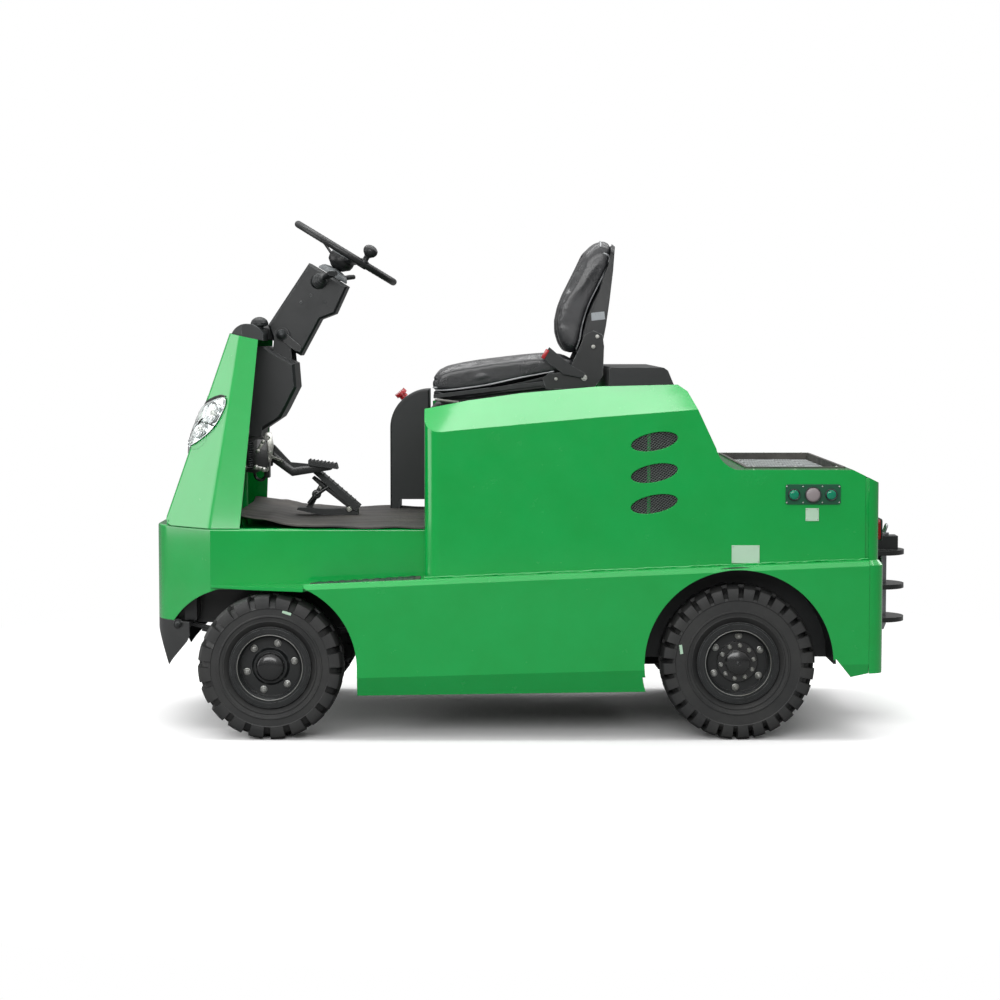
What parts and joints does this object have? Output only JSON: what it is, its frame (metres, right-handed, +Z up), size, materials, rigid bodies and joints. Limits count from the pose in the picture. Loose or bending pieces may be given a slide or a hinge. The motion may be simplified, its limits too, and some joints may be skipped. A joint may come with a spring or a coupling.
{
  "type": "electric tow tractor",
  "caption": "Sit-on electric tow tractor with steered front wheels, sloping cowl, seat on a tipping hood, rear load tray and a jaw hitch with a drop pin.",
  "frame": {"origin": "on the floor, below the middle of the whole vehicle", "axes": "+X to the rear, +Y to the tractor's right-hand side, +Z up"},
  "size_m": [2.386, 1.13, 1.5927],
  "materials": {
    "green_paint": "gloss",
    "black_paint": "satin",
    "black_plastic": "matte",
    "bare_steel": "satin",
    "tyre_rubber": "matte",
    "mat_rubber": "matte",
    "lamp_clear": "gloss",
    "lamp_red": "gloss",
    "red_plastic": "gloss",
    "seat_vinyl": "satin",
    "pale_plate": "satin"
  },
  "bodies": {
    "chassis": {"front_body": "green_paint", "bumper_lip": "black_paint", "cowl": "green_paint", "headlamp_left": "lamp_clear", "headlamp_right": "lamp_clear", "cowl_top_cover": "black_plastic", "fender_left": "green_paint", "fender_right": "green_paint", "step_treads": "mat_rubber", "skirt_left": "green_paint", "skirt_right": "green_paint", "side_panel_left": "green_paint", "side_panel_right": "green_paint", "vent_mesh": "black_plastic", "seat_box_front": "green_paint", "rear_deck": "green_paint", "rear_panel": "green_paint", "load_tray": "mat_rubber", "tail_lamps": "lamp_red", "button_panel": "black_plastic", "side_plates": "pale_plate", "tow_hitch": "black_paint", "chassis_frame": "black_paint", "battery_block": "black_plastic", "arch_liner_left": "black_plastic", "arch_liner_right": "black_plastic", "leaf_spring_left": "black_paint", "leaf_spring_right": "black_paint", "front_axle": "black_paint", "rear_axle": "black_paint", "floor_mat": "mat_rubber", "brake_unit": "black_paint", "brake_pedal": "black_paint", "accelerator_pedal": "black_plastic", "column_shroud": "black_plastic", "side_console": "black_plastic", "emergency_stop": "red_plastic"},
    "tow_pin": {"tow_pin": "bare_steel"},
    "knuckle_left": {"knuckle_left": "black_paint"},
    "knuckle_right": {"knuckle_right": "black_paint"},
    "tie_rod": {"tie_rod": "black_paint"},
    "wheel_front_left": {"tyre_front_left": "tyre_rubber", "rim_front_left": "black_paint"},
    "wheel_front_right": {"tyre_front_right": "tyre_rubber", "rim_front_right": "black_paint"},
    "wheel_rear_left": {"tyre_rear_left": "tyre_rubber", "rim_rear_left": "black_paint"},
    "wheel_rear_right": {"tyre_rear_right": "tyre_rubber", "rim_rear_right": "black_paint"},
    "column": {"column_upper": "black_plastic", "column_stalks": "black_plastic", "tilt_lever": "black_plastic"},
    "steering_wheel": {"steering_wheel": "black_plastic"},
    "hood": {"seat_hood": "black_plastic", "seat_rails": "black_paint"},
    "seat": {"seat_base": "black_plastic", "seat_cushion": "seat_vinyl", "seat_back": "seat_vinyl", "seat_brackets": "black_paint", "belt_buckle": "black_plastic"}
  },
  "joints": [
    {"name": "steer_left", "type": "hinge", "parent": "chassis", "child": "knuckle_left", "pos_m": [-0.811, -0.365, 0.221], "axis": [0, 0, 1], "range_deg": [-35, 35]},
    {"name": "steer_right", "type": "hinge", "parent": "chassis", "child": "knuckle_right", "pos_m": [-0.811, 0.365, 0.221], "axis": [0, 0, 1], "range_deg": [-35, 35]},
    {"name": "tie_rod_pivot", "type": "hinge", "parent": "knuckle_left", "child": "tie_rod", "pos_m": [-0.701, -0.365, 0.1467], "axis": [0, 0, 1], "range_deg": [-35, 35]},
    {"name": "steering_wheel_turn", "type": "hinge", "parent": "column", "child": "steering_wheel", "pos_m": [-0.609, 0, 1.488], "axis": [0.5195, 0, 0.8545], "range_deg": [-525, 525]},
    {"name": "wheel_front_left_spin", "type": "hinge", "parent": "knuckle_left", "child": "wheel_front_left", "pos_m": [-0.811, -0.465, 0.221], "axis": [0, 1, 0], "continuous": true},
    {"name": "wheel_front_right_spin", "type": "hinge", "parent": "knuckle_right", "child": "wheel_front_right", "pos_m": [-0.811, 0.465, 0.221], "axis": [0, 1, 0], "continuous": true},
    {"name": "wheel_rear_left_spin", "type": "hinge", "parent": "chassis", "child": "wheel_rear_left", "pos_m": [0.607, -0.471, 0.235], "axis": [0, 1, 0], "continuous": true},
    {"name": "wheel_rear_right_spin", "type": "hinge", "parent": "chassis", "child": "wheel_rear_right", "pos_m": [0.607, 0.471, 0.235], "axis": [0, 1, 0], "continuous": true},
    {"name": "column_tilt", "type": "hinge", "parent": "chassis", "child": "column", "pos_m": [-0.808, 0, 1.226], "axis": [0, 1, 0], "range_deg": [-8, 8]},
    {"name": "hood_tilt", "type": "hinge", "parent": "chassis", "child": "hood", "pos_m": [0.436, 0, 1.058], "axis": [0, 1, 0], "range_deg": [0, 55]},
    {"name": "seat_slide", "type": "slide", "parent": "hood", "child": "seat", "axis": [-1, 0, 0], "range_m": [0, 0.15]},
    {"name": "tow_pin_lift", "type": "slide", "parent": "chassis", "child": "tow_pin", "axis": [0, 0, 1], "range_m": [0, 0.25]}
  ],
  "couplings": [
    {"joint": "steer_right", "follows": "steer_left", "ratio": 1},
    {"joint": "tie_rod_pivot", "follows": "steer_left", "ratio": -1},
    {"joint": "steering_wheel_turn", "follows": "steer_left", "ratio": 15}
  ]
}
